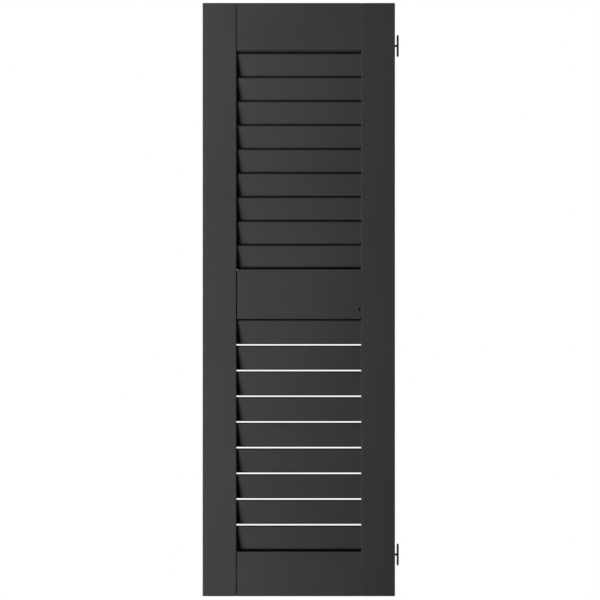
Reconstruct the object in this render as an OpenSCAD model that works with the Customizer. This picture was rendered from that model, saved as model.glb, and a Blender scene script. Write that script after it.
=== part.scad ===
// One leaf of a fixed-slat louvred shutter, painted timber, hung on two butt hinges.
// Front (room side) faces -Y, +Z is up. The origin is the middle of the lower hinge's
// jamb screws, on the face that lies against the jamb.

/* [Leaf] */
// Width of the leaf over both stiles
leaf_w = 438; // [320:1:640]
// Height of the leaf over top and bottom rails
leaf_h = 1350; // [1260:1:1900]
// Thickness of stiles and rails
leaf_t = 34; // [31:0.5:44]
// Width of each stile
stile_w = 77; // [55:1:100]

/* [Rails] */
// Height of the top rail's face, with the chamfer under it
top_rail_h = 111.6; // [75:0.1:150]
// Height of the chamfer along the top rail's lower front edge
top_rail_chamfer_h = 4.5; // [1:0.5:8]
// Depth of that chamfer into the rail's underside
top_rail_chamfer_depth = 9; // [1:0.5:12]
// Height of the middle rail's face
middle_rail_h = 114; // [70:0.5:150]
// Height of the bottom rail's face
bottom_rail_h = 102; // [70:1:150]
// Height of the lower opening, from bottom rail to middle rail
lower_opening_h = 528.5; // [430:0.5:650]
// Depth, front to back, of the lip that hangs behind the first slat of each opening
lip_t = 12; // [6:0.5:14]
// How far that lip hangs below the rail
lip_drop = 15; // [4:0.5:20]
// Fall of the middle rail's top towards the back, in degrees
weathering = 15; // [8:1:22]
// Thickness of the upstand at the back of the bottom rail
upstand_t = 5; // [3:0.5:6]
// Height of that upstand
upstand_h = 9; // [6:0.5:14]

/* [Slats] */
// Number of slats in the upper opening
upper_slats = 9; // [6:1:11]
// Number of slats in the lower opening
lower_slats = 9; // [6:1:11]
// Width of a slat, edge to edge
slat_w = 57; // [44:0.1:60]
// Thickness of a slat, whose edges are full rounds
slat_t = 8; // [5:0.5:9]
// Lean of a slat from upright, top edge forward, in degrees
slat_tilt = 14; // [11:0.5:17]
// How far a slat's end is housed in the stile
housing_depth = 10; // [6:0.5:16]
// Play round a slat's end in its housing
housing_play = 0.15; // [0.1:0.05:0.3]
// Gap beyond a slat's end, at the bottom of its housing
housing_end_gap = 0.5; // [0.2:0.1:1]
// From the top rail's lower edge down to the first upper slat
upper_first_gap = 2.3; // [2:0.1:12]
// From the last upper slat down to the middle rail's front edge; below zero the slat hangs behind it
upper_last_gap = -0.7; // [-1.5:0.1:10]
// From the middle rail's lower edge down to the first lower slat
lower_first_gap = 1.6; // [0.4:0.1:12]
// From the last lower slat down to the bottom rail's front edge
lower_last_gap = 3.2; // [1:0.1:8]

/* [Dowels] */
// Diameter of the dowels that join rails to stiles
dowel_d = 10; // [8:1:12]
// Length of a dowel, half of it in the rail
dowel_l = 60; // [40:1:80]
// From a rail's upper or lower edge to its nearest dowel
dowel_inset = 27; // [18:1:32]
// Radial room for glue round a dowel
dowel_play = 0.05; // [0.02:0.01:0.1]
// Room for glue beyond a dowel's end
dowel_end_gap = 1; // [0.5:0.5:3]

/* [Hinges] */
// From the leaf's top down to the upper hinge's middle
upper_hinge_drop = 98; // [60:1:300]
// Height of the lower hinge's middle above the leaf's bottom
lower_hinge_z = 95; // [60:1:300]
// Height of a hinge's plates and knuckles
hinge_h = 44; // [36:1:70]
// Thickness of a hinge plate
plate_t = 2; // [1.8:0.1:2.2]
// From the leaf's front face back to the front edge of the plate in its edge
plate_setback = 2.5; // [2:0.5:5]
// From the leaf's front face back to the rear edge of both plates
plate_reach = 30; // [27:0.5:31]
// Outer diameter of the knuckles
knuckle_d = 5; // [5:0.1:6]
// Height of the middle knuckle, the one on the leaf's plate
middle_knuckle_h = 17; // [12:0.5:20]
// Gap between neighbouring knuckles
knuckle_gap = 0.4; // [0.2:0.1:0.8]
// Diameter of the hinge pin
pin_d = 3; // [2.6:0.1:3.2]
// Radial clearance of the pin in its knuckles
pin_clearance = 0.05; // [0.02:0.01:0.1]
// Diameter of the button at each end of the pin
button_d = 4.6; // [4:0.1:6]
// How far a button stands beyond the knuckles
button_h = 3; // [2.6:0.1:5]
// How far the pin's axis stands in front of the leaf's front face
pin_front = 1.5; // [1.2:0.1:4]
// Gap from the leaf's edge to the near side of the knuckles
knuckle_offset = 3.55; // [2:0.05:8]
// Height of the neck that carries the middle knuckle
neck_h = 5; // [4:0.5:10]
// Thickness of that neck
neck_t = 1.5; // [1.2:0.1:2]

/* [Screws] */
// Distance between the two screw holes of a jamb plate
jamb_screw_spacing = 32; // [24:1:50]
// Distance between the two screws of a leaf's plate, staggered from the jamb's
leaf_screw_spacing = 20; // [12:1:24]
// Diameter of a screw's shank
screw_d = 3.5; // [3:0.1:4]
// Diameter of a screw hole through a plate
screw_hole_d = 4; // [3.6:0.1:4.4]
// Diameter of the countersink at a plate's face
countersink_d = 6.4; // [5.6:0.1:6.6]
// Length of a leaf screw, head included
screw_l = 25; // [16:1:32]
// Radial room round a screw, in plate and timber
screw_play = 0.1; // [0.05:0.05:0.15]

/* [Hidden] */
timber = [0.24, 0.245, 0.25];
dowel_wood = [0.76, 0.62, 0.44];
steel = [0.07, 0.07, 0.075];
$fn = 48;
cut = 1;                                    // overrun of a cutting tool past a face
notch_play = 0.5;                           // from the middle knuckle to the jamb plate
mortise_play = 0.2;                         // round the plate in the leaf's edge
button_gap = 0.1;                           // from a button to its knuckle
pilot_end_gap = 1;                          // beyond a screw's point
recess_l = 3;                               // cross recess in a screw head
recess_t = 0.7;
recess_depth = 0.8;

opening_w = leaf_w - 2 * stile_w;
middle_rail_z = bottom_rail_h + lower_opening_h;
upper_opening_z = middle_rail_z + middle_rail_h;
top_rail_z = leaf_h - top_rail_h;
upper_opening_h = top_rail_z - upper_opening_z;

slat_half = (slat_w - slat_t) / 2;          // from the slat's middle to its edge round's centre
slat_rise = 2 * slat_half * cos(slat_tilt) + slat_t;
slat_l = opening_w + 2 * housing_depth;
upper_pitch = (upper_opening_h - upper_first_gap - upper_last_gap - slat_rise) / (upper_slats - 1);
lower_pitch = (lower_opening_h - lower_first_gap - lower_last_gap - slat_rise) / (lower_slats - 1);
upper_slat_top = top_rail_z - upper_first_gap;
lower_slat_top = middle_rail_z - lower_first_gap;

knuckle_r = knuckle_d / 2;
leaf_gap = knuckle_offset + knuckle_d;      // from the leaf's edge to the jamb
outer_knuckle_h = (hinge_h - middle_knuckle_h) / 2 - knuckle_gap;
screw_y = leaf_t / 2;                       // screws stand at mid-thickness
countersink_h = (countersink_d - screw_hole_d) / 2;
stile_inner_x = [stile_w, leaf_w - stile_w];
upper_hinge_z = leaf_h - upper_hinge_drop;
hinge_zs = [lower_hinge_z, upper_hinge_z];

// [bottom of the rail's face, height of that face]
top_rail_place = [top_rail_z, top_rail_h];
middle_rail_place = [middle_rail_z, middle_rail_h];
bottom_rail_place = [0, bottom_rail_h];
rail_places = [top_rail_place, middle_rail_place, bottom_rail_place];

// The leaf is drawn from its own lower left front corner, then moved to the origin's place.
module leaf_place() {
    translate([-leaf_gap - leaf_w, -screw_y, -lower_hinge_z]) children();
}

// A hinge is drawn from its pin's axis at mid-height.
module hinge_place(z) {
    leaf_place() translate([leaf_w + knuckle_offset + knuckle_r, -pin_front, z]) children();
}

// Turns a profile drawn in Y (as x) and Z (as y) into a length along +X.
module along_x(length) {
    rotate([90, 0, 90]) linear_extrude(length) children();
}

// ---- slats ----

module slat_profile(grow = 0) {
    rotate(slat_tilt) {
        square([slat_t + 2 * grow, 2 * slat_half], center = true);
        for (side = [-1, 1])
            translate([0, side * slat_half]) circle(r = slat_t / 2 + grow);
    }
}

function slat_z(top, pitch, i) = top - pitch * (i - 1) - slat_rise / 2;

module slat(z) {
    color(timber) leaf_place()
        translate([stile_w - housing_depth, leaf_t / 2, z]) along_x(slat_l) slat_profile();
}

// Every slat's housing, cut from one stile's inner edge; a slot runs from x to x + length.
module housings(x, length) {
    for (i = [1:upper_slats])
        translate([x, leaf_t / 2, slat_z(upper_slat_top, upper_pitch, i)])
            along_x(length) slat_profile(housing_play);
    for (i = [1:lower_slats])
        translate([x, leaf_t / 2, slat_z(lower_slat_top, lower_pitch, i)])
            along_x(length) slat_profile(housing_play);
}

// ---- dowels ----

// Both dowels, or their holes, at one end of a rail; the rail's end is at x.
module dowel_pair(x, place, grow, end_gap) {
    half = dowel_l / 2 + end_gap;
    for (z = [place[0] + dowel_inset, place[0] + place[1] - dowel_inset])
        translate([x - half, leaf_t / 2, z]) rotate([0, 90, 0])
            cylinder(r = dowel_d / 2 + grow, h = 2 * half);
}

module dowel_holes(x, place) {
    dowel_pair(x, place, dowel_play, dowel_end_gap);
}

module rail_dowels(place) {
    color(dowel_wood) leaf_place()
        for (x = stile_inner_x) dowel_pair(x, place, 0, 0);
}

// ---- stiles ----

module left_stile() {
    color(timber) leaf_place() difference() {
        cube([stile_w, leaf_t, leaf_h]);
        housings(stile_w - housing_depth - housing_end_gap, housing_depth + housing_end_gap + cut);
        for (place = rail_places) dowel_holes(stile_w, place);
    }
}

module right_stile() {
    inner_x = leaf_w - stile_w;
    color(timber) difference() {
        leaf_place() difference() {
            translate([inner_x, 0, 0]) cube([stile_w, leaf_t, leaf_h]);
            housings(inner_x - cut, housing_depth + housing_end_gap + cut);
            for (place = rail_places) dowel_holes(inner_x, place);
        }
        for (z = hinge_zs) hinge_mortise(z);
    }
}

// ---- rails ----

module rail(place) {
    color(timber) leaf_place() difference() {
        translate([stile_w, 0, place[0]]) along_x(opening_w) children();
        for (x = stile_inner_x) dowel_holes(x, place);
    }
}

// The lip hangs below the rail's face height, behind the first slat.
module hanging_lip() {
    translate([leaf_t - lip_t, -lip_drop]) square([lip_t, lip_drop + cut]);
}

module top_rail() {
    h = top_rail_chamfer_h;
    rail(top_rail_place) {
        polygon([[top_rail_chamfer_depth, 0], [leaf_t, 0], [leaf_t, top_rail_h], [0, top_rail_h], [0, h]]);
        hanging_lip();
    }
}

module middle_rail() {
    back_h = middle_rail_h - leaf_t * tan(weathering);
    rail(middle_rail_place) {
        polygon([[0, 0], [leaf_t, 0], [leaf_t, back_h], [0, middle_rail_h]]);
        hanging_lip();
    }
}

module bottom_rail() {
    rail(bottom_rail_place) {
        square([leaf_t, bottom_rail_h]);
        translate([leaf_t - upstand_t, 0]) square([upstand_t, bottom_rail_h + upstand_h]);
    }
}

// ---- hinges, drawn from the pin's axis ----

plate_x = -knuckle_offset - knuckle_r - plate_t;       // inner face of the leaf's plate
plate_front = pin_front + plate_setback;
plate_back = pin_front + plate_reach;
screw_back = pin_front + screw_y;

module screw_spots(spacing) {
    for (side = [-1, 1]) translate([0, screw_back, side * spacing / 2]) children();
}

// A countersunk hole through a plate that starts at x; its wide mouth opens towards +X or -X.
module plate_hole(x, mouth_right) {
    mouth = mouth_right ? x + plate_t : x;
    turn = mouth_right ? -90 : 90;
    translate([mouth, 0, 0]) rotate([0, turn, 0]) {
        cylinder(d = screw_hole_d, h = plate_t + cut);
        cylinder(d1 = countersink_d, d2 = screw_hole_d, h = countersink_h);
        translate([0, 0, -cut]) cylinder(d = countersink_d, h = cut);
    }
}

module knuckle(z0, h) {
    translate([0, 0, z0]) cylinder(r = knuckle_r, h = h);
}

module pin_bore() {
    translate([0, 0, -hinge_h / 2 - cut])
        cylinder(r = pin_d / 2 + pin_clearance, h = hinge_h + 2 * cut);
}

// The plate let into the leaf's edge, with the neck that carries the middle knuckle.
module leaf_plate(z) {
    color(steel) hinge_place(z) difference() {
        union() {
            translate([plate_x, plate_front, -hinge_h / 2])
                cube([plate_t, plate_back - plate_front, hinge_h]);
            translate([plate_x, -neck_t / 2, -neck_h / 2])
                cube([plate_t, plate_front + neck_t, neck_h]);
            translate([plate_x, -neck_t / 2, -neck_h / 2])
                cube([-plate_x, neck_t, neck_h]);
            knuckle(-middle_knuckle_h / 2, middle_knuckle_h);
        }
        pin_bore();
        screw_spots(leaf_screw_spacing) plate_hole(plate_x, true);
    }
}

// Room in the stile's edge for that plate, its tongue and its screws.
module hinge_mortise(z) {
    pocket_h = hinge_h + 2 * mortise_play;
    hinge_place(z) {
        translate([plate_x, plate_front - mortise_play, -hinge_h / 2 - mortise_play])
            cube([plate_t + cut, plate_back - plate_front + 2 * mortise_play, pocket_h]);
        translate([plate_x, -cut, -neck_h / 2 - mortise_play])
            cube([plate_t + cut, plate_front + 2 * cut, neck_h + 2 * mortise_play]);
        screw_spots(leaf_screw_spacing) translate([plate_x + plate_t, 0, 0]) rotate([0, -90, 0])
            cylinder(r = screw_d / 2 + screw_play, h = screw_l + pilot_end_gap);
    }
}

// The plate for the jamb, with the upper and lower knuckles.
module jamb_plate(z) {
    notch_h = middle_knuckle_h + 2 * knuckle_gap;
    notch_back = knuckle_r + notch_play;
    color(steel) hinge_place(z) difference() {
        union() {
            translate([knuckle_r - plate_t, 0, -hinge_h / 2]) cube([plate_t, plate_back, hinge_h]);
            knuckle(-hinge_h / 2, outer_knuckle_h);
            knuckle(hinge_h / 2 - outer_knuckle_h, outer_knuckle_h);
        }
        translate([-knuckle_d, -knuckle_d, -notch_h / 2])
            cube([2 * knuckle_d, knuckle_d + notch_back, notch_h]);
        pin_bore();
        screw_spots(jamb_screw_spacing) plate_hole(knuckle_r - plate_t, false);
    }
}

module button() {
    dome_r = button_d / 2;
    rim_h = button_h - button_gap - dome_r;
    translate([0, 0, hinge_h / 2 + button_gap]) {
        cylinder(r = dome_r, h = rim_h);
        translate([0, 0, rim_h]) intersection() {
            sphere(r = dome_r);
            translate([-dome_r, -dome_r, 0]) cube(2 * dome_r);
        }
    }
}

module pin(z) {
    shaft_h = hinge_h + 2 * button_gap + cut;
    color(steel) hinge_place(z) {
        translate([0, 0, -shaft_h / 2]) cylinder(d = pin_d, h = shaft_h);
        button();
        mirror([0, 0, 1]) button();
    }
}

module screw() {
    head_d = countersink_d - 2 * screw_play;
    head_h = (head_d - screw_d) / 2;
    rotate([0, -90, 0]) difference() {
        union() {
            cylinder(d1 = head_d, d2 = screw_d, h = head_h);
            cylinder(d = screw_d, h = screw_l - screw_d);
            translate([0, 0, screw_l - screw_d])
                cylinder(d1 = screw_d, d2 = screw_d / 4, h = screw_d);
        }
        for (turn = [0, 90]) rotate(turn)
            translate([-recess_l / 2, -recess_t / 2, -cut])
                cube([recess_l, recess_t, recess_depth + cut]);
    }
}

module screws(z) {
    color(steel) hinge_place(z) screw_spots(leaf_screw_spacing)
        translate([plate_x + plate_t, 0, 0]) screw();
}

// ---- the nodes ----

left_stile();
right_stile();
top_rail();
middle_rail();
bottom_rail();
for (i = [1:upper_slats])
    slat(slat_z(upper_slat_top, upper_pitch, i));
for (i = [1:lower_slats])
    slat(slat_z(lower_slat_top, lower_pitch, i));
rail_dowels(top_rail_place);  // top_rail_dowels
rail_dowels(middle_rail_place);  // middle_rail_dowels
rail_dowels(bottom_rail_place);  // bottom_rail_dowels
leaf_plate(upper_hinge_z);  // upper_leaf_plate
jamb_plate(upper_hinge_z);  // upper_jamb_plate
pin(upper_hinge_z);  // upper_pin
screws(upper_hinge_z);  // upper_screws
leaf_plate(lower_hinge_z);  // lower_leaf_plate
jamb_plate(lower_hinge_z);  // lower_jamb_plate
pin(lower_hinge_z);  // lower_pin
screws(lower_hinge_z);  // lower_screws
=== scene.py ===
"""Looks of a louvred shutter leaf: painted timber stiles, rails and slats on two black hinges."""

import math

import bmesh
import bpy
from mathutils import Euler, Matrix, Vector


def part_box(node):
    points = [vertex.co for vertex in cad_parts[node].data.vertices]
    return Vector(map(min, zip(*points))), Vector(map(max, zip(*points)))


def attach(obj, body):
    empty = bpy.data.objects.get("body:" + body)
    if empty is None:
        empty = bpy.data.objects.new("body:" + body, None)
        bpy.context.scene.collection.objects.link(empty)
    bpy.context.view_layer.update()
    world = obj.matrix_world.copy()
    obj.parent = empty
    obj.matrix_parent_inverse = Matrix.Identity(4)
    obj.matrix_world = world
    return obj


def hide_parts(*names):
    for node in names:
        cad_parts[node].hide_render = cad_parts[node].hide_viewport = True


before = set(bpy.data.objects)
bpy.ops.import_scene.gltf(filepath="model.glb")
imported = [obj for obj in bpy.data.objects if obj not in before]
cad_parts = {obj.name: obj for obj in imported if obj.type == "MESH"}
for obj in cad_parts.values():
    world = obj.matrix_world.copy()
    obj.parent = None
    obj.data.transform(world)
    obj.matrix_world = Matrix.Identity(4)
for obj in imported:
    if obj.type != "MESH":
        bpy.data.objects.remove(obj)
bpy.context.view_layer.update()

MM = 0.001

# ---- sizes that the frame's boxes don't give ----
ARRIS = 1.9 * MM                 # eased edges of stiles and rails
ARRIS_SEGMENTS = 4
END_ARRIS = 0.4 * MM             # round the rails' ends, where they meet the stiles
SLAT_TILT = math.radians(14)     # top edge forward
SLAT_W = 57 * MM
SLAT_T = 8 * MM
HOUSING_PLAY = 0.15 * MM
HOUSING_END_GAP = 0.5 * MM
DOWEL_PLAY = 0.05 * MM
DOWEL_END_GAP = 1 * MM
PLATE_T = 2 * MM
PLATE_SETBACK = 2.5 * MM         # from the leaf's front face to the plate in its edge
PLATE_REACH = 30 * MM            # from the leaf's front face to the plate's rear edge
MORTISE_PLAY = 0.2 * MM
NECK_H = 5 * MM
NECK_T = 1.5 * MM
KNUCKLE_R = 2.5 * MM
MIDDLE_KNUCKLE_H = 17 * MM
KNUCKLE_GAP = 0.4 * MM
NOTCH_PLAY = 0.5 * MM            # from the middle knuckle to the jamb plate
PIN_R = 1.5 * MM
PIN_CLEARANCE = 0.05 * MM
BORE_R = PIN_R + PIN_CLEARANCE
ROUND_SIDES = 48                 # facets of a knuckle and its bore
STEEL_EASE = 0.25 * MM
RIM_EASE = 0.2 * MM
SCREW_HOLE_R = 2 * MM
COUNTERSINK_R = 3.2 * MM
JAMB_SCREW_SPACING = 32 * MM
LEAF_SCREW_SPACING = 20 * MM
PILOT_R = 1.85 * MM
PILOT_DEPTH = 24 * MM            # from the mortise's floor
CUT = 2 * MM                     # overrun of a cutting tool past a face
WELD = 0.002 * MM                # corners nearer than this are one
RAIL_H = {"top_rail": 111.6 * MM, "middle_rail": 114 * MM, "bottom_rail": 102 * MM}
LIP_T = 12 * MM
LIP_DROP = 15 * MM
WEATHERING = math.radians(15)
UPSTAND_T = 5 * MM
CHAMFER_H = 4.5 * MM             # along the top rail's lower front edge
CHAMFER_DEPTH = 9 * MM
# how far each rail's left shoulder stands open at the front
OPEN_JOINT = {"top_rail": 0.75 * MM, "middle_rail": 1.8 * MM, "bottom_rail": 1 * MM}
OPEN_JOINT_DEPTH = 8 * MM
BEAD_SIZE = (3.0 * MM, 2.4 * MM, 12 * MM)        # a drop of dried paint: across, deep, up
BEAD_INSET = 1.6 * MM            # from the middle rail's right end
BEAD_RISE = 31 * MM              # from the rail's lower front edge
NICK_SIZE = (3.8 * MM, 9 * MM, 9 * MM)
NICK_INSET = 4.0 * MM
NICK_RISE = 22.5 * MM
SLATS = [f"{part}_slat_{i}" for part in ("upper", "lower") for i in range(1, 10)]
RAILS = ["top_rail", "middle_rail", "bottom_rail"]


# ---- mesh helpers ----

def box_bmesh(low, high):
    """A bmesh box between two corners."""
    bm = bmesh.new()
    bmesh.ops.create_cube(bm, size=1)
    size = Vector(high) - Vector(low)
    bmesh.ops.scale(bm, vec=size, verts=bm.verts)
    bmesh.ops.translate(bm, vec=Vector(low) + size / 2, verts=bm.verts)
    return bm


def bevel(bm, edges, offset, segments):
    """Rounds edges with an arc."""
    bmesh.ops.bevel(bm, geom=list(edges), offset=offset, offset_type="OFFSET", affect="EDGES",
                    segments=segments, profile=0.5, material=-1, clamp_overlap=True)


def prism_bmesh(profile, start, end):
    """A profile of (y, z) points, drawn out along X."""
    bm = bmesh.new()
    face = bm.faces.new([bm.verts.new((start, y, z)) for y, z in profile])
    drawn = bmesh.ops.extrude_face_region(bm, geom=[face])
    far = [v for v in drawn["geom"] if isinstance(v, bmesh.types.BMVert)]
    bmesh.ops.translate(bm, vec=(end - start, 0, 0), verts=far)
    bmesh.ops.recalc_face_normals(bm, faces=bm.faces)
    return bm


def slat_bmesh(centre, length, grow=0.0):
    """A leaning board with full-round long edges."""
    half = Vector((length, SLAT_T + 2 * grow, SLAT_W + 2 * grow)) / 2
    bm = box_bmesh(-half, half)
    long_edges = [e for e in bm.edges if abs((e.verts[0].co - e.verts[1].co).x) > length / 2]
    bevel(bm, long_edges, half.y, 8)
    bmesh.ops.remove_doubles(bm, verts=bm.verts, dist=WELD)
    bmesh.ops.rotate(bm, cent=(0, 0, 0), matrix=Matrix.Rotation(SLAT_TILT, 3, "X"), verts=bm.verts)
    bmesh.ops.translate(bm, vec=centre, verts=bm.verts)
    return bm


def cylinder_bmesh(start, end, radius, segments=32):
    """A cylinder between two points."""
    bm = bmesh.new()
    axis = Vector(end) - Vector(start)
    turn = axis.to_track_quat("Z", "Y").to_matrix().to_4x4()
    place = Matrix.Translation((Vector(start) + Vector(end)) / 2) @ turn
    bmesh.ops.create_cone(bm, cap_ends=True, segments=segments, radius1=radius, radius2=radius,
                          depth=axis.length, matrix=place)
    return bm


def turned_bmesh(place, rings, segments=32):
    """A closed solid turned about its own Z axis through rings of (height, radius)."""
    bm = bmesh.new()
    angles = [2 * math.pi * i / segments for i in range(segments)]
    loops = [[bm.verts.new(place @ Vector((radius * math.cos(a), radius * math.sin(a), height)))
              for a in angles] for height, radius in rings]
    for near, far in zip(loops, loops[1:]):
        for i in range(segments):
            j = (i + 1) % segments
            bm.faces.new((near[i], near[j], far[j], far[i]))
    bm.faces.new(loops[0])
    bm.faces.new(loops[-1])
    bmesh.ops.recalc_face_normals(bm, faces=bm.faces)
    return bm


def pebble_bmesh(centre, size):
    """An egg-shaped solid."""
    bm = bmesh.new()
    half = Vector(size) / 2
    place = Matrix.Translation(centre) @ Matrix.Diagonal((half.x, half.y, half.z, 1))
    bmesh.ops.create_uvsphere(bm, u_segments=24, v_segments=16, radius=1, matrix=place)
    return bm


def to_object(bm, name):
    """Closes a bmesh into a new object at the origin."""
    mesh = bpy.data.meshes.new(name)
    bm.to_mesh(mesh)
    bm.free()
    obj = bpy.data.objects.new(name, mesh)
    bpy.context.scene.collection.objects.link(obj)
    return obj


def combine(obj, solids, operation):
    """Cuts a list of bmesh solids out of an object, or adds them, and keeps the result as its mesh."""
    group = bpy.data.collections.new("tools")
    tools = [to_object(bm, f"tool_{i}") for i, bm in enumerate(solids)]
    for tool in tools:
        group.objects.link(tool)
    mod = obj.modifiers.new("combine", "BOOLEAN")
    mod.operand_type = "COLLECTION"
    mod.collection = group
    mod.operation = operation
    mod.solver = "EXACT"
    depsgraph = bpy.context.evaluated_depsgraph_get()
    depsgraph.update()
    result = bpy.data.meshes.new_from_object(obj.evaluated_get(depsgraph))
    welded = bmesh.new()
    welded.from_mesh(result)
    bmesh.ops.remove_doubles(welded, verts=welded.verts, dist=WELD)
    welded.to_mesh(result)
    welded.free()
    obj.modifiers.clear()
    old = obj.data
    obj.data = result
    bpy.data.meshes.remove(old)
    result.name = obj.name
    for tool in tools:
        mesh = tool.data
        bpy.data.objects.remove(tool)
        bpy.data.meshes.remove(mesh)
    bpy.data.collections.remove(group)


def finish_shading(obj, sharp=35):
    """Smooth rounds that keep the flats flat."""
    mesh = obj.data
    mesh.polygons.foreach_set("use_smooth", [True] * len(mesh.polygons))
    mesh.set_sharp_from_angle(angle=math.radians(sharp))
    mod = obj.modifiers.new("flats", "WEIGHTED_NORMAL")
    mod.keep_sharp = True
    mod.weight = 100


def coat(obj, material):
    """Makes a material the piece's only one."""
    obj.data.materials.clear()
    obj.data.materials.append(material)


def settle(obj, material, cad_node, body):
    """Gives a finished piece its material and its body, and hides the CAD node that it stands for."""
    coat(obj, material)
    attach(obj, body)
    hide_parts(cad_node)


# ---- materials ----

def socket(group, name, in_out, kind, value=None):
    """Adds an input or output to a node group."""
    item = group.interface.new_socket(name=name, in_out=in_out, socket_type=kind)
    if value is not None:
        item.default_value = value
    return item


def node(tree, kind, x, y, **settings):
    """Adds a node to a tree at a place in its editor."""
    n = tree.nodes.new(kind)
    n.location = (x, y)
    for key, value in settings.items():
        setattr(n, key, value)
    return n


GRAIN_STRETCH = (9, 420, 420)    # long along X, fine across it
BRUSH_STRETCH = (22, 900, 900)
STIPPLE_SCALE = 2600
DRIFT_SCALE = 3.2
TONE_BASE = 0.67
TONE_FROM_DRIFT = 0.30
TONE_FROM_LINES = 0.42
GLOSS_DRIFT = 0.18


def brushed_paint_group():
    """Paint over timber: faint grain and brush marks along one axis, a fine stipple and slow
    drifts of tone. Outputs a colour, a roughness and a height."""
    g = bpy.data.node_groups.new("brushed_paint", "ShaderNodeTree")
    socket(g, "Vector", "INPUT", "NodeSocketVector")
    socket(g, "Paint", "INPUT", "NodeSocketColor", (0.05, 0.05, 0.05, 1))
    socket(g, "Gloss Drift", "INPUT", "NodeSocketFloat", GLOSS_DRIFT)
    socket(g, "Base Roughness", "INPUT", "NodeSocketFloat", 0.42)
    socket(g, "Color", "OUTPUT", "NodeSocketColor")
    socket(g, "Roughness", "OUTPUT", "NodeSocketFloat")
    socket(g, "Height", "OUTPUT", "NodeSocketFloat")
    src = node(g, "NodeGroupInput", -1100, 0)
    out = node(g, "NodeGroupOutput", 700, 0)

    def noise(scale, detail, rough, stretch, y):
        turn = node(g, "ShaderNodeMapping", -900, y)
        turn.inputs["Scale"].default_value = stretch
        g.links.new(src.outputs["Vector"], turn.inputs["Vector"])
        n = node(g, "ShaderNodeTexNoise", -700, y)
        n.inputs["Scale"].default_value = scale
        n.inputs["Detail"].default_value = detail
        n.inputs["Roughness"].default_value = rough
        g.links.new(turn.outputs["Vector"], n.inputs["Vector"])
        return n.outputs["Fac"]

    def math_node(op, a, b, y, x=-400):
        m = node(g, "ShaderNodeMath", x, y, operation=op)
        for i, v in enumerate((a, b)):
            if isinstance(v, (int, float)):
                m.inputs[i].default_value = v
            else:
                g.links.new(v, m.inputs[i])
        return m.outputs[0]

    # the grain runs along X of the vector that comes in
    grain = noise(1.0, 4, 0.6, GRAIN_STRETCH, 300)
    brush = noise(1.0, 3, 0.55, BRUSH_STRETCH, 0)
    stipple = noise(STIPPLE_SCALE, 2, 0.5, (1, 1, 1), -300)
    drift = noise(DRIFT_SCALE, 2, 0.5, (1, 1, 1), -600)

    lines = math_node("MULTIPLY_ADD", grain, 0.55, 300)
    g.links.new(math_node("MULTIPLY", brush, 0.3, 0), lines.node.inputs[2])
    height = math_node("MULTIPLY_ADD", stipple, 0.15, 150, -150)
    g.links.new(lines, height.node.inputs[2])
    g.links.new(height, out.inputs["Height"])

    # tone drifts a little over the leaf and along the grain
    tone = math_node("MULTIPLY_ADD", drift, TONE_FROM_DRIFT, -500)
    g.links.new(math_node("MULTIPLY", lines, TONE_FROM_LINES, -350), tone.node.inputs[2])
    value = math_node("ADD", tone, TONE_BASE, -500, -150)
    hsv = node(g, "ShaderNodeHueSaturation", 200, -300)
    g.links.new(src.outputs["Paint"], hsv.inputs["Color"])
    g.links.new(value, hsv.inputs["Value"])
    g.links.new(hsv.outputs["Color"], out.inputs["Color"])

    gloss = math_node("ADD", drift, grain, -700)
    gloss = math_node("SUBTRACT", gloss, 1.0, -700, -250)
    gloss = math_node("MULTIPLY", gloss, 0, -700, -100)
    g.links.new(src.outputs["Gloss Drift"], gloss.node.inputs[1])
    rough = math_node("ADD", gloss, 0, -700, 100)
    g.links.new(src.outputs["Base Roughness"], rough.node.inputs[1])
    g.links.new(rough, out.inputs["Roughness"])
    return g


PAINT_GROUP = brushed_paint_group()


def painted_timber(name, paint, turn, roughness=0.54, bump=0.5):
    """Satin paint on timber, with the grain turned to run along the piece."""
    mat = bpy.data.materials.new(name)
    mat.use_nodes = True
    tree = mat.node_tree
    bsdf = tree.nodes["Principled BSDF"]
    coords = node(tree, "ShaderNodeTexCoord", -900, 0)
    mapping = node(tree, "ShaderNodeMapping", -700, 0)
    mapping.inputs["Rotation"].default_value = turn
    group = node(tree, "ShaderNodeGroup", -450, 0, node_tree=PAINT_GROUP)
    group.inputs["Paint"].default_value = (*paint, 1)
    group.inputs["Base Roughness"].default_value = roughness
    relief = node(tree, "ShaderNodeBump", -220, -250)
    relief.inputs["Strength"].default_value = bump
    relief.inputs["Distance"].default_value = 0.25 * MM
    tree.links.new(coords.outputs["Object"], mapping.inputs["Vector"])
    tree.links.new(mapping.outputs["Vector"], group.inputs["Vector"])
    tree.links.new(group.outputs["Color"], bsdf.inputs["Base Color"])
    tree.links.new(group.outputs["Roughness"], bsdf.inputs["Roughness"])
    tree.links.new(group.outputs["Height"], relief.inputs["Height"])
    tree.links.new(relief.outputs["Normal"], bsdf.inputs["Normal"])
    bsdf.inputs["Specular IOR Level"].default_value = 0.35
    return mat


UPRIGHT = (0, math.radians(90), 0)
LEVEL = (0, 0, 0)
FRAME_PAINT = (0.030, 0.0322, 0.0345)
# the slats' colour is the frame's paint made about a tenth darker: painted shade on the slats, which share
# the frame's one paint
SHADED_SLAT_PAINT = (0.0272, 0.0293, 0.0314)
stile_paint = painted_timber("stile_paint", FRAME_PAINT, UPRIGHT)
rail_paint = painted_timber("rail_paint", FRAME_PAINT, LEVEL)
# the slats get the darker copy of the frame's paint, as painted shade
slat_paint = painted_timber("slat_paint", SHADED_SLAT_PAINT, LEVEL)


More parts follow.
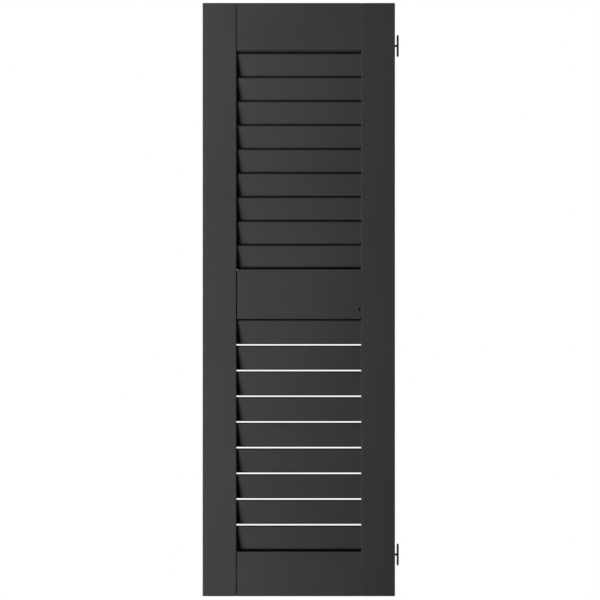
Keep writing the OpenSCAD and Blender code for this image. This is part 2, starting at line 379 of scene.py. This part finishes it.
def black_steel():
    """Satin black coated steel with a faint speckle."""
    mat = bpy.data.materials.new("black_steel")
    mat.use_nodes = True
    tree = mat.node_tree
    bsdf = tree.nodes["Principled BSDF"]
    coords = node(tree, "ShaderNodeTexCoord", -900, 0)
    speckle = node(tree, "ShaderNodeTexNoise", -700, 0)
    speckle.inputs["Scale"].default_value = 1800
    speckle.inputs["Detail"].default_value = 3
    tree.links.new(coords.outputs["Object"], speckle.inputs["Vector"])
    tone = node(tree, "ShaderNodeValToRGB", -450, 100)
    tone.color_ramp.elements[0].position = 0.3
    tone.color_ramp.elements[0].color = (0.002, 0.002, 0.0022, 1)
    tone.color_ramp.elements[1].position = 0.8
    tone.color_ramp.elements[1].color = (0.006, 0.006, 0.0065, 1)
    tree.links.new(speckle.outputs["Fac"], tone.inputs["Fac"])
    tree.links.new(tone.outputs["Color"], bsdf.inputs["Base Color"])
    relief = node(tree, "ShaderNodeBump", -220, -250)
    relief.inputs["Strength"].default_value = 0.15
    relief.inputs["Distance"].default_value = 0.05 * MM
    tree.links.new(speckle.outputs["Fac"], relief.inputs["Height"])
    tree.links.new(relief.outputs["Normal"], bsdf.inputs["Normal"])
    bsdf.inputs["Roughness"].default_value = 0.5
    bsdf.inputs["Specular IOR Level"].default_value = 0.28
    return mat


def bare_beech():
    """Unpainted beech, for the dowels inside the joints."""
    mat = bpy.data.materials.new("bare_beech")
    mat.use_nodes = True
    tree = mat.node_tree
    bsdf = tree.nodes["Principled BSDF"]
    coords = node(tree, "ShaderNodeTexCoord", -900, 0)
    mapping = node(tree, "ShaderNodeMapping", -700, 0)
    mapping.inputs["Scale"].default_value = (40, 900, 900)
    grain = node(tree, "ShaderNodeTexNoise", -500, 0)
    grain.inputs["Scale"].default_value = 1
    tone = node(tree, "ShaderNodeValToRGB", -300, 0)
    tone.color_ramp.elements[0].color = (0.42, 0.25, 0.12, 1)
    tone.color_ramp.elements[1].color = (0.62, 0.43, 0.24, 1)
    tree.links.new(coords.outputs["Object"], mapping.inputs["Vector"])
    tree.links.new(mapping.outputs["Vector"], grain.inputs["Vector"])
    tree.links.new(grain.outputs["Fac"], tone.inputs["Fac"])
    tree.links.new(tone.outputs["Color"], bsdf.inputs["Base Color"])
    bsdf.inputs["Roughness"].default_value = 0.6
    return mat


steel = black_steel()
beech = bare_beech()


# ---- slats ----

for name in SLATS:
    low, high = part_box(name)
    slat = to_object(slat_bmesh((low + high) / 2, high.x - low.x), name + "_board")
    finish_shading(slat, 50)
    settle(slat, slat_paint, name, "leaf")


# ---- stiles ----

def dowel_cutters(rail_name, joint_x):
    """Solids for the two dowel holes across one joint between a rail and a stile."""
    low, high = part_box(rail_name + "_dowels")
    radius = (high.y - low.y) / 2
    middle = (low.y + high.y) / 2
    reach = joint_x - low.x if joint_x < (low.x + high.x) / 2 else high.x - joint_x
    reach += DOWEL_END_GAP
    return [cylinder_bmesh((joint_x - reach, middle, z), (joint_x + reach, middle, z), radius + DOWEL_PLAY)
            for z in (low.z + radius, high.z - radius)]


def mortise_cutters(hinge):
    """Solids for the room that one hinge's plate and screws take in the stile's edge."""
    low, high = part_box(hinge + "_leaf_plate")
    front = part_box("right_stile")[0].y
    edge = low.x + PLATE_T
    plate = box_bmesh((low.x, front + PLATE_SETBACK - MORTISE_PLAY, low.z - MORTISE_PLAY),
                      (edge + CUT, front + PLATE_REACH + MORTISE_PLAY, high.z + MORTISE_PLAY))
    middle = (low.z + high.z) / 2
    neck = NECK_H / 2 + MORTISE_PLAY
    tongue = box_bmesh((low.x, front - CUT, middle - neck),
                       (edge + CUT, front + PLATE_SETBACK, middle + neck))
    cutters = [plate, tongue]
    for side in (-1, 1):
        z = middle + side * LEAF_SCREW_SPACING / 2
        cutters.append(cylinder_bmesh((edge + CUT, 0, z), (low.x - PILOT_DEPTH, 0, z), PILOT_R))
    return cutters


def housing_cutters(inner_x, direction):
    """Solids for the slats' housings, from a stile's inner face into the timber."""
    cutters = []
    for name in SLATS:
        low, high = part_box(name)
        end = high.x if direction > 0 else low.x
        centre = (low + high) / 2
        deep = end + direction * HOUSING_END_GAP
        mouth = inner_x - direction * CUT
        centre.x = (deep + mouth) / 2
        cutters.append(slat_bmesh(centre, abs(deep - mouth), HOUSING_PLAY))
    return cutters


def stile(name, inner_x, direction):
    """One upright, with the slats' housings, the dowel holes and any hinge mortises cut in it."""
    low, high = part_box(name)
    bm = box_bmesh(low, high)
    bevel(bm, bm.edges[:], ARRIS, ARRIS_SEGMENTS)
    obj = to_object(bm, name + "_timber")
    cutters = housing_cutters(inner_x, direction)
    for rail_name in RAILS:
        cutters += dowel_cutters(rail_name, inner_x)
    if name == "right_stile":
        cutters += mortise_cutters("upper") + mortise_cutters("lower")
    combine(obj, cutters, "DIFFERENCE")
    finish_shading(obj)
    settle(obj, stile_paint, name, "leaf")


opening_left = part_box("left_stile")[1].x
opening_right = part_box("right_stile")[0].x
stile("left_stile", opening_left, -1)
stile("right_stile", opening_right, 1)


# ---- rails ----

def rail_profile(name):
    """The rail's section as (y, z) points."""
    low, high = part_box(name)
    front, back = low.y, high.y
    if name == "bottom_rail":
        top = low.z + RAIL_H[name]
        return [(front, low.z), (back, low.z), (back, high.z), (back - UPSTAND_T, high.z),
                (back - UPSTAND_T, top), (front, top)]
    base = low.z + LIP_DROP
    top = base + RAIL_H[name]
    back_top = top - (back - front) * math.tan(WEATHERING) if name == "middle_rail" else top
    foot = [(front, base)]
    if name == "top_rail":
        foot = [(front, base + CHAMFER_H), (front + CHAMFER_DEPTH, base)]
    return foot + [(back - LIP_T, base), (back - LIP_T, low.z), (back, low.z),
                   (back, back_top), (front, top)]


def open_joint_cutter(rail_name):
    """The narrow gap between a rail's left shoulder and the stile, closed behind."""
    low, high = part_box(rail_name)
    return box_bmesh((low.x - CUT, low.y - CUT, low.z - CUT),
                     (low.x + OPEN_JOINT[rail_name], low.y + OPEN_JOINT_DEPTH, high.z + CUT))


def blemish(size, inset, rise):
    """A pebble set in the middle rail's front face, near its right end."""
    low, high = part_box("middle_rail")
    return pebble_bmesh(Vector((high.x - inset, low.y, low.z + LIP_DROP + rise)), size)


for name in RAILS:
    low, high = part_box(name)
    bm = prism_bmesh(rail_profile(name), low.x, high.x)
    along = [e for e in bm.edges if abs(e.verts[0].co.x - e.verts[1].co.x) > MM]
    bevel(bm, along, ARRIS, ARRIS_SEGMENTS)
    ends = [e for e in bm.edges if abs(e.verts[0].co.x - e.verts[1].co.x) < 0.01 * MM]
    bevel(bm, ends, END_ARRIS, 2)
    rail = to_object(bm, name + "_timber")
    cutters = dowel_cutters(name, low.x) + dowel_cutters(name, high.x) + [open_joint_cutter(name)]
    if name == "middle_rail":
        combine(rail, [blemish(BEAD_SIZE, BEAD_INSET, BEAD_RISE)], "UNION")
        cutters.append(blemish(NICK_SIZE, NICK_INSET, NICK_RISE))
    combine(rail, cutters, "DIFFERENCE")
    finish_shading(rail)
    settle(rail, rail_paint, name, "leaf")


# ---- hinges ----

def eased_box(low, high):
    """A box with lightly rounded edges."""
    bm = box_bmesh(low, high)
    bevel(bm, bm.edges[:], STEEL_EASE, 2)
    return bm


def knuckle_bmesh(x, y, low_z, high_z):
    """One barrel of a hinge, with its end edges eased."""
    bm = cylinder_bmesh((x, y, low_z), (x, y, high_z), KNUCKLE_R, ROUND_SIDES)
    rims = [e for e in bm.edges if abs(e.verts[0].co.z - e.verts[1].co.z) < KNUCKLE_R / 10]
    bevel(bm, rims, RIM_EASE, 2)
    return bm


def screw_hole_cutter(x, depth, y, z, mouth_side):
    """A screw hole and its countersink as one solid, which opens towards mouth_side (+1 or -1)."""
    sink = COUNTERSINK_R - SCREW_HOLE_R
    turn = Matrix.Rotation(math.radians(90) * mouth_side, 4, "Y")
    # the cone carries on past the plate's face so that no skin is left there
    rings = [(-depth, SCREW_HOLE_R), (-sink, SCREW_HOLE_R), (sink, COUNTERSINK_R + sink)]
    return turned_bmesh(Matrix.Translation((x, y, z)) @ turn, rings)


def pin_axis(hinge):
    """Where a hinge's upright pin stands, as x and y."""
    low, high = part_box(hinge + "_pin")
    return (low.x + high.x) / 2, (low.y + high.y) / 2


def leaf_plate(hinge):
    """The plate in the leaf's edge, with the neck that carries the middle knuckle."""
    name = hinge + "_leaf_plate"
    low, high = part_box(name)
    pin_x, pin_y = pin_axis(hinge)
    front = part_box("right_stile")[0].y
    middle = (low.z + high.z) / 2
    neck_y = pin_y - NECK_T / 2
    neck_z = NECK_H / 2
    plate = to_object(eased_box((low.x, front + PLATE_SETBACK, low.z),
                                (low.x + PLATE_T, front + PLATE_REACH, high.z)), name + "_steel")
    combine(plate, [
        eased_box((low.x, neck_y, middle - neck_z),
                  (low.x + PLATE_T, front + PLATE_SETBACK + NECK_T, middle + neck_z)),
        eased_box((low.x, neck_y, middle - neck_z), (pin_x, neck_y + NECK_T, middle + neck_z)),
        knuckle_bmesh(pin_x, pin_y, middle - MIDDLE_KNUCKLE_H / 2, middle + MIDDLE_KNUCKLE_H / 2),
    ], "UNION")
    cutters = [cylinder_bmesh((pin_x, pin_y, low.z), (pin_x, pin_y, high.z), BORE_R, ROUND_SIDES)]
    for side in (-1, 1):
        z = middle + side * LEAF_SCREW_SPACING / 2
        cutters.append(screw_hole_cutter(low.x + PLATE_T, PLATE_T + CUT, 0, z, 1))
    combine(plate, cutters, "DIFFERENCE")
    finish_shading(plate, 40)
    settle(plate, steel, name, "leaf")


def jamb_plate(hinge):
    """The plate for the jamb, with the upper and lower knuckles."""
    name = hinge + "_jamb_plate"
    low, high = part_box(name)
    pin_x, pin_y = pin_axis(hinge)
    leaf_low, leaf_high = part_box(hinge + "_leaf_plate")
    middle = (leaf_low.z + leaf_high.z) / 2
    plate = to_object(eased_box((high.x - PLATE_T, pin_y, low.z), high), name + "_steel")
    notch_z = MIDDLE_KNUCKLE_H / 2 + KNUCKLE_GAP
    notch = box_bmesh((high.x - PLATE_T - CUT, pin_y - CUT, middle - notch_z),
                      (high.x + CUT, pin_y + KNUCKLE_R + NOTCH_PLAY, middle + notch_z))
    combine(plate, [notch], "DIFFERENCE")
    combine(plate, [knuckle_bmesh(pin_x, pin_y, low.z, middle - notch_z),
                    knuckle_bmesh(pin_x, pin_y, middle + notch_z, high.z)], "UNION")
    cutters = [cylinder_bmesh((pin_x, pin_y, low.z - CUT), (pin_x, pin_y, high.z + CUT), BORE_R,
                              ROUND_SIDES)]
    for side in (-1, 1):
        z = middle + side * JAMB_SCREW_SPACING / 2
        cutters.append(screw_hole_cutter(high.x - PLATE_T, PLATE_T + CUT, 0, z, -1))
    combine(plate, cutters, "DIFFERENCE")
    finish_shading(plate, 40)
    settle(plate, steel, name, "jamb_side")


for hinge in ("upper", "lower"):
    leaf_plate(hinge)
    jamb_plate(hinge)


# ---- CAD pieces that stay ----

for name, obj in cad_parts.items():
    if name.endswith("dowels"):
        coat(obj, beech)
    elif name.endswith(("pin", "screws")):
        coat(obj, steel)


# ---- studio: floor, lights, camera ----

FLOOR_DROP = 0.10                # below the leaf, which hangs from its hinges
FLOOR_RADIUS = 1.9
ROOM_GLOW = 0.02
KEY_AZIMUTHS = (28, 32, 36, 40, 44, 48, 52)      # degrees to the left of the front
KEY_RISES = (-0.43, -0.32, -0.21)                # for each metre forward; they shine upwards
KEY_DISTANCE = 30.0
KEY_RADIUS = 0.06
KEY_SPREAD = math.radians(8)
KEY_BLEND = 0.3
KEY_POWER = 39300                # of all the key's lamps together
KEY_SLOPE_X = -46
KEY_SLOPE_Y = 3.2
KEY_LEAST = 0.55                 # the scrim never dims a lamp below this share
SIDE_POWER = 40
TOP_POWER = 160
REAR_POWER = 260
REAR_FILL_SHARE = 0.4

stile_low, stile_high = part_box("left_stile")
CENTRE = Vector(((stile_low.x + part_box("right_stile")[1].x) / 2, 0, (stile_low.z + stile_high.z) / 2))


def pale_floor():
    """A round pale floor that casts nothing back on the leaf."""
    bm = bmesh.new()
    bmesh.ops.create_circle(bm, cap_ends=True, segments=96, radius=FLOOR_RADIUS)
    bmesh.ops.translate(bm, vec=(CENTRE.x, 0, stile_low.z - FLOOR_DROP), verts=bm.verts)
    floor = to_object(bm, "floor")
    paint = bpy.data.materials.new("floor_white")
    paint.use_nodes = True
    inputs = paint.node_tree.nodes["Principled BSDF"].inputs
    inputs["Base Color"].default_value = (0.9, 0.9, 0.9, 1)
    inputs["Roughness"].default_value = 0.8
    inputs["Emission Color"].default_value = (1, 1, 1, 1)
    inputs["Emission Strength"].default_value = 0.5
    floor.data.materials.append(paint)
    floor.visible_diffuse = False
    floor.visible_glossy = False
    floor.visible_shadow = False


def white_room():
    """A world that is white behind the leaf and gives only a faint glow."""
    world = bpy.data.worlds.new("studio")
    bpy.context.scene.world = world
    world.use_nodes = True
    tree = world.node_tree
    for old in list(tree.nodes):
        tree.nodes.remove(old)
    out = node(tree, "ShaderNodeOutputWorld", 400, 0)
    seen = node(tree, "ShaderNodeBackground", 0, 100)
    seen.inputs["Color"].default_value = (1, 1, 1, 1)
    seen.inputs["Strength"].default_value = 1.0
    fill = node(tree, "ShaderNodeBackground", 0, -100)
    fill.inputs["Color"].default_value = (1, 1, 1, 1)
    fill.inputs["Strength"].default_value = ROOM_GLOW
    path = node(tree, "ShaderNodeLightPath", -200, 300)
    mix = node(tree, "ShaderNodeMixShader", 200, 0)
    tree.links.new(path.outputs["Is Camera Ray"], mix.inputs["Fac"])
    tree.links.new(fill.outputs["Background"], mix.inputs[1])
    tree.links.new(seen.outputs["Background"], mix.inputs[2])
    tree.links.new(mix.outputs["Shader"], out.inputs["Surface"])


pale_floor()
white_room()


def softbox(name, offset, size, power):
    """A square soft light at an offset from the leaf's middle, aimed at it."""
    light = bpy.data.lights.new(name, "AREA")
    light.shape = "RECTANGLE"
    light.size = size
    light.size_y = size
    light.energy = power
    obj = bpy.data.objects.new(name, light)
    obj.location = CENTRE + Vector(offset)
    obj.rotation_euler = (-Vector(offset)).to_track_quat("-Z", "Y").to_euler()
    bpy.context.scene.collection.objects.link(obj)


def graded_lamp(name, direction, power):
    """A distant soft lamp behind a graduated scrim: its strength slopes across the beam."""
    light = bpy.data.lights.new(name, "SPOT")
    light.energy = power
    light.spot_size = KEY_SPREAD
    light.spot_blend = KEY_BLEND
    light.shadow_soft_size = KEY_RADIUS
    light.use_soft_falloff = True
    light.use_nodes = True
    tree = light.node_tree
    glow = next(n for n in tree.nodes if n.type == "EMISSION")
    coords = node(tree, "ShaderNodeTexCoord", -900, 0)
    split = node(tree, "ShaderNodeSeparateXYZ", -700, 0)
    tree.links.new(coords.outputs["Normal"], split.inputs["Vector"])
    across = node(tree, "ShaderNodeMath", -500, 100, operation="MULTIPLY_ADD")
    across.inputs[1].default_value = KEY_SLOPE_X
    across.inputs[2].default_value = 1
    up = node(tree, "ShaderNodeMath", -300, 0, operation="MULTIPLY_ADD")
    up.inputs[1].default_value = KEY_SLOPE_Y
    least = node(tree, "ShaderNodeMath", -150, 0, operation="MAXIMUM")
    least.inputs[1].default_value = KEY_LEAST
    tree.links.new(split.outputs["X"], across.inputs[0])
    tree.links.new(split.outputs["Y"], up.inputs[0])
    tree.links.new(across.outputs[0], up.inputs[2])
    tree.links.new(up.outputs[0], least.inputs[0])
    tree.links.new(least.outputs[0], glow.inputs["Strength"])
    obj = bpy.data.objects.new(name, light)
    obj.location = CENTRE + direction * KEY_DISTANCE
    obj.rotation_euler = (-direction).to_track_quat("-Z", "Y").to_euler()
    bpy.context.scene.collection.objects.link(obj)


key_share = KEY_POWER / (len(KEY_AZIMUTHS) * len(KEY_RISES))
for azimuth in KEY_AZIMUTHS:
    turn = math.radians(azimuth)
    for row, rise in enumerate(KEY_RISES):
        beam = Vector((-math.sin(turn), -math.cos(turn), math.cos(turn) * rise)).normalized()
        graded_lamp(f"key_{azimuth}_{row}", beam, key_share)
softbox("side_fill", (4.4, -0.9, 0.3), 1.5, SIDE_POWER)
softbox("rear_key", (-2.6, 4.2, 0.3), 1.6, REAR_POWER)
softbox("top_fill", (0, 1.6, 4.5), 2, TOP_POWER)
softbox("rear_fill", (3.0, 3.6, 0.2), 2, REAR_POWER * REAR_FILL_SHARE)

CAMERA_DISTANCE = 15.0
FRAME_WIDTH = 1.3666             # metres seen across the picture at the leaf
SENSOR_WIDTH = 36
AIM_SHIFT = (0.0028, 0, -0.001)
camera_data = bpy.data.cameras.new("camera")
camera_data.sensor_width = SENSOR_WIDTH
camera_data.lens = SENSOR_WIDTH * CAMERA_DISTANCE / FRAME_WIDTH
camera_data.clip_end = 100
camera = bpy.data.objects.new("camera", camera_data)
camera.location = CENTRE + Vector(AIM_SHIFT) + Vector((0, -CAMERA_DISTANCE, 0))
camera.rotation_euler = Euler((math.radians(90), 0, 0))
bpy.context.scene.collection.objects.link(camera)
bpy.context.scene.camera = camera
bpy.context.scene.view_settings.view_transform = "Standard"

bpy.context.view_layer.update()
